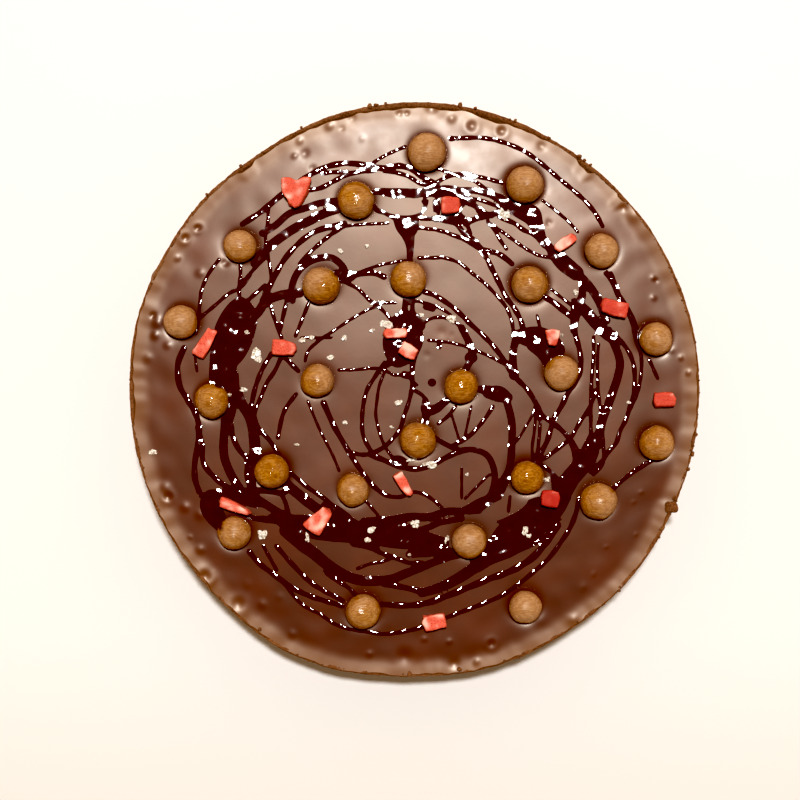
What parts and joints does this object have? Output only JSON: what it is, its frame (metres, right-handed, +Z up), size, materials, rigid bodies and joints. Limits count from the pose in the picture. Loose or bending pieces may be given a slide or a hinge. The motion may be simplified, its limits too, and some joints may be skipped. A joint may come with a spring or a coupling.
{
  "type": "chocolate ganache tart",
  "caption": "Round chocolate ganache tart in a crumb crust, topped with roasted hazelnuts, dried strawberry dice, dark sauce threads and salt flakes.",
  "frame": {"origin": "middle of the tart's flat base, on the surface it stands on", "axes": "+Z up through the tart, +Y towards the side shown at the top when it is seen from above, +X to the right of that"},
  "size_m": [0.229, 0.2304, 0.0357],
  "materials": {
    "crust": "rough baked chocolate crumb",
    "ganache": "smooth, glossy set chocolate",
    "hazelnut": "satin roasted kernel with patches of caramel",
    "strawberry": "porous freeze-dried fruit"
  },
  "bodies": {
    "root": {"crust": "crust", "ganache": "ganache", "hazelnut_01": "hazelnut", "hazelnut_02": "hazelnut", "hazelnut_03": "hazelnut", "hazelnut_04": "hazelnut", "hazelnut_05": "hazelnut", "hazelnut_06": "hazelnut", "hazelnut_07": "hazelnut", "hazelnut_08": "hazelnut", "hazelnut_09": "hazelnut", "hazelnut_10": "hazelnut", "hazelnut_11": "hazelnut", "hazelnut_12": "hazelnut", "hazelnut_13": "hazelnut", "hazelnut_14": "hazelnut", "hazelnut_15": "hazelnut", "hazelnut_16": "hazelnut", "hazelnut_17": "hazelnut", "hazelnut_18": "hazelnut", "hazelnut_19": "hazelnut", "hazelnut_20": "hazelnut", "hazelnut_21": "hazelnut", "hazelnut_22": "hazelnut", "hazelnut_23": "hazelnut", "hazelnut_24": "hazelnut", "strawberry_01": "strawberry", "strawberry_02": "strawberry", "strawberry_03": "strawberry", "strawberry_04": "strawberry", "strawberry_05": "strawberry", "strawberry_06": "strawberry", "strawberry_07": "strawberry", "strawberry_08": "strawberry", "strawberry_09": "strawberry", "strawberry_10": "strawberry", "strawberry_11": "strawberry", "strawberry_12": "strawberry", "strawberry_13": "strawberry", "strawberry_14": "strawberry", "strawberry_15": "strawberry"}
  },
  "joints": []
}
